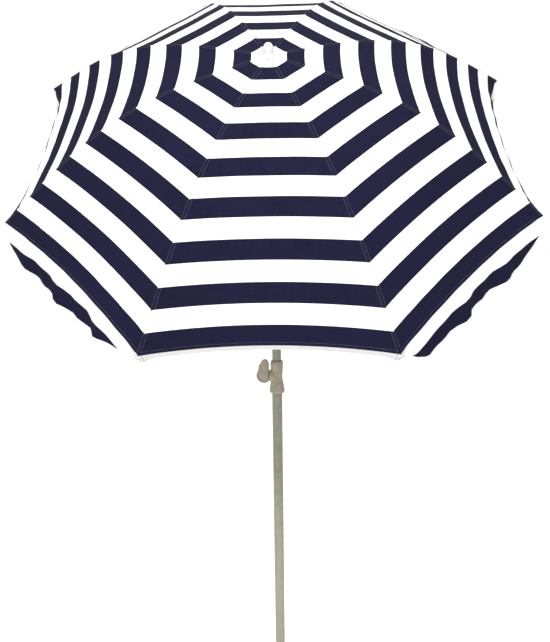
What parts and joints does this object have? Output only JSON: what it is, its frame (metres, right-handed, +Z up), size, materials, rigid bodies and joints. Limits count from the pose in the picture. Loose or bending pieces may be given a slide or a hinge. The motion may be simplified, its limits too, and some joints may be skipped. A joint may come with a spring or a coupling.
{
  "type": "beach umbrella",
  "caption": "Striped beach umbrella on a two-part pole, with a height clamp, a tilt joint and a canopy that folds on its ribs.",
  "frame": {"origin": "centre of the lower pole's bottom end", "axes": "+Z up the pole; -Y is the side that the canopy tilts to; +X along the tilt hinge"},
  "size_m": [1.29, 0.9153, 2.1266],
  "materials": {
    "painted_pole": "semi-gloss olive-grey paint",
    "taupe_plastic": "satin moulded taupe",
    "white_plastic": "smooth moulded white",
    "zinc_steel": "zinc plated",
    "rib_wire": "grey coated wire",
    "brass_nut": "turned",
    "striped_cloth": "woven polyester in navy and white stripes"
  },
  "bodies": {
    "base": {"lower_pole": "painted_pole", "foot_plug": "taupe_plastic", "clamp_collar": "taupe_plastic", "clamp_insert": "brass_nut"},
    "clamp": {"clamp_screw": "taupe_plastic"},
    "upper": {"upper_pole": "painted_pole", "pole_glide": "taupe_plastic", "tilt_lower_knuckle": "taupe_plastic", "tilt_pin": "zinc_steel", "button_spring": "zinc_steel"},
    "button": {"tilt_button": "taupe_plastic"},
    "head": {"tilt_upper_knuckle": "taupe_plastic", "top_tube": "painted_pole", "crown": "white_plastic", "crown_wire": "zinc_steel", "finial": "white_plastic", "catch_spring": "zinc_steel"},
    "runner": {"runner": "white_plastic", "runner_wire": "zinc_steel"},
    "catch": {"runner_catch": "zinc_steel"},
    "rib_1": {"rib_1": "rib_wire", "rib_tip_1": "white_plastic", "canopy_1": "striped_cloth", "valance_1": "striped_cloth"},
    "stretcher_1": {"stretcher_1": "rib_wire"},
    "rib_2": {"rib_2": "rib_wire", "rib_tip_2": "white_plastic", "canopy_2": "striped_cloth", "valance_2": "striped_cloth"},
    "stretcher_2": {"stretcher_2": "rib_wire"},
    "rib_3": {"rib_3": "rib_wire", "rib_tip_3": "white_plastic", "canopy_3": "striped_cloth", "valance_3": "striped_cloth"},
    "stretcher_3": {"stretcher_3": "rib_wire"},
    "rib_4": {"rib_4": "rib_wire", "rib_tip_4": "white_plastic", "canopy_4": "striped_cloth", "valance_4": "striped_cloth"},
    "stretcher_4": {"stretcher_4": "rib_wire"},
    "rib_5": {"rib_5": "rib_wire", "rib_tip_5": "white_plastic", "canopy_5": "striped_cloth", "valance_5": "striped_cloth"},
    "stretcher_5": {"stretcher_5": "rib_wire"},
    "rib_6": {"rib_6": "rib_wire", "rib_tip_6": "white_plastic", "canopy_6": "striped_cloth", "valance_6": "striped_cloth"},
    "stretcher_6": {"stretcher_6": "rib_wire"},
    "rib_7": {"rib_7": "rib_wire", "rib_tip_7": "white_plastic", "canopy_7": "striped_cloth", "valance_7": "striped_cloth"},
    "stretcher_7": {"stretcher_7": "rib_wire"},
    "rib_8": {"rib_8": "rib_wire", "rib_tip_8": "white_plastic", "canopy_8": "striped_cloth", "valance_8": "striped_cloth"},
    "stretcher_8": {"stretcher_8": "rib_wire"}
  },
  "joints": [
    {"name": "height_slide", "type": "slide", "parent": "base", "child": "upper", "axis": [0, 0, 1], "range_m": [-0.16, 0.03]},
    {"name": "clamp_turn", "type": "hinge", "parent": "base", "child": "clamp", "pos_m": [-0.03, 0, 0.985], "axis": [1, 0, 0], "range_deg": [0, 450]},
    {"name": "tilt", "type": "hinge", "parent": "upper", "child": "head", "pos_m": [0, 0, 1.47], "axis": [-1, 0, 0], "range_deg": [0, 45]},
    {"name": "tilt_button_press", "type": "slide", "parent": "upper", "child": "button", "axis": [-1, 0, 0], "range_m": [0, 0.004], "stiffness_N_per_m": 300, "springref_m": -0.003, "deforming": ["button_spring"]},
    {"name": "catch_press", "type": "slide", "parent": "head", "child": "catch", "axis": [0, -0.7071, -0.7071], "range_m": [0, 0.005], "stiffness_N_per_m": 300, "springref_m": -0.003, "deforming": ["catch_spring"]},
    {"name": "fold", "type": "slide", "parent": "head", "child": "runner", "axis": [0, 0.7071, -0.7071], "range_m": [0, 0.2787]},
    {"name": "rib_hinge_1", "type": "hinge", "parent": "head", "child": "rib_1", "pos_m": [0.00804, -0.38778, 1.83034], "axis": [0.9239, 0.2706, 0.2706], "range_deg": [0, 66.02], "deforming": ["canopy_1", "valance_1"]},
    {"name": "stretcher_hinge_1", "type": "hinge", "parent": "rib_1", "child": "stretcher_1", "pos_m": [0.08479, -0.5018, 1.68233], "axis": [-0.9239, -0.2706, -0.2706], "range_deg": [0, 112.08]},
    {"name": "rib_hinge_2", "type": "hinge", "parent": "head", "child": "rib_2", "pos_m": [0.0194, -0.37974, 1.83838], "axis": [0.3827, 0.6533, 0.6533], "range_deg": [0, 66.02], "deforming": ["canopy_2", "valance_2"]},
    {"name": "stretcher_hinge_2", "type": "hinge", "parent": "rib_2", "child": "stretcher_2", "pos_m": [0.20469, -0.41702, 1.76711], "axis": [-0.3827, -0.6533, -0.6533], "range_deg": [0, 112.08]},
    {"name": "rib_hinge_3", "type": "hinge", "parent": "head", "child": "rib_3", "pos_m": [0.0194, -0.36838, 1.84974], "axis": [-0.3827, 0.6533, 0.6533], "range_deg": [0, 66.02], "deforming": ["canopy_3", "valance_3"]},
    {"name": "stretcher_hinge_3", "type": "hinge", "parent": "rib_3", "child": "stretcher_3", "pos_m": [0.20469, -0.29711, 1.88702], "axis": [0.3827, -0.6533, -0.6533], "range_deg": [0, 112.08]},
    {"name": "rib_hinge_4", "type": "hinge", "parent": "head", "child": "rib_4", "pos_m": [0.00804, -0.36034, 1.85778], "axis": [-0.9239, 0.2706, 0.2706], "range_deg": [0, 66.02], "deforming": ["canopy_4", "valance_4"]},
    {"name": "stretcher_hinge_4", "type": "hinge", "parent": "rib_4", "child": "stretcher_4", "pos_m": [0.08479, -0.21233, 1.97181], "axis": [0.9239, -0.2706, -0.2706], "range_deg": [0, 112.08]},
    {"name": "rib_hinge_5", "type": "hinge", "parent": "head", "child": "rib_5", "pos_m": [-0.00804, -0.36034, 1.85778], "axis": [-0.9239, -0.2706, -0.2706], "range_deg": [0, 66.02], "deforming": ["canopy_5", "valance_5"]},
    {"name": "stretcher_hinge_5", "type": "hinge", "parent": "rib_5", "child": "stretcher_5", "pos_m": [-0.08479, -0.21233, 1.97181], "axis": [0.9239, 0.2706, 0.2706], "range_deg": [0, 112.08]},
    {"name": "rib_hinge_6", "type": "hinge", "parent": "head", "child": "rib_6", "pos_m": [-0.0194, -0.36838, 1.84974], "axis": [-0.3827, -0.6533, -0.6533], "range_deg": [0, 66.02], "deforming": ["canopy_6", "valance_6"]},
    {"name": "stretcher_hinge_6", "type": "hinge", "parent": "rib_6", "child": "stretcher_6", "pos_m": [-0.20469, -0.29711, 1.88702], "axis": [0.3827, 0.6533, 0.6533], "range_deg": [0, 112.08]},
    {"name": "rib_hinge_7", "type": "hinge", "parent": "head", "child": "rib_7", "pos_m": [-0.0194, -0.37974, 1.83838], "axis": [0.3827, -0.6533, -0.6533], "range_deg": [0, 66.02], "deforming": ["canopy_7", "valance_7"]},
    {"name": "stretcher_hinge_7", "type": "hinge", "parent": "rib_7", "child": "stretcher_7", "pos_m": [-0.20469, -0.41702, 1.76711], "axis": [-0.3827, 0.6533, 0.6533], "range_deg": [0, 112.08]},
    {"name": "rib_hinge_8", "type": "hinge", "parent": "head", "child": "rib_8", "pos_m": [-0.00804, -0.38778, 1.83034], "axis": [0.9239, -0.2706, -0.2706], "range_deg": [0, 66.02], "deforming": ["canopy_8", "valance_8"]},
    {"name": "stretcher_hinge_8", "type": "hinge", "parent": "rib_8", "child": "stretcher_8", "pos_m": [-0.08479, -0.5018, 1.68233], "axis": [-0.9239, 0.2706, 0.2706], "range_deg": [0, 112.08]}
  ],
  "couplings": [
    {"joint": "rib_hinge_1", "follows": "fold", "rad_per_m": 4.1332},
    {"joint": "stretcher_hinge_1", "follows": "fold", "rad_per_m": 7.017},
    {"joint": "rib_hinge_2", "follows": "fold", "rad_per_m": 4.1332},
    {"joint": "stretcher_hinge_2", "follows": "fold", "rad_per_m": 7.017},
    {"joint": "rib_hinge_3", "follows": "fold", "rad_per_m": 4.1332},
    {"joint": "stretcher_hinge_3", "follows": "fold", "rad_per_m": 7.017},
    {"joint": "rib_hinge_4", "follows": "fold", "rad_per_m": 4.1332},
    {"joint": "stretcher_hinge_4", "follows": "fold", "rad_per_m": 7.017},
    {"joint": "rib_hinge_5", "follows": "fold", "rad_per_m": 4.1332},
    {"joint": "stretcher_hinge_5", "follows": "fold", "rad_per_m": 7.017},
    {"joint": "rib_hinge_6", "follows": "fold", "rad_per_m": 4.1332},
    {"joint": "stretcher_hinge_6", "follows": "fold", "rad_per_m": 7.017},
    {"joint": "rib_hinge_7", "follows": "fold", "rad_per_m": 4.1332},
    {"joint": "stretcher_hinge_7", "follows": "fold", "rad_per_m": 7.017},
    {"joint": "rib_hinge_8", "follows": "fold", "rad_per_m": 4.1332},
    {"joint": "stretcher_hinge_8", "follows": "fold", "rad_per_m": 7.017}
  ]
}
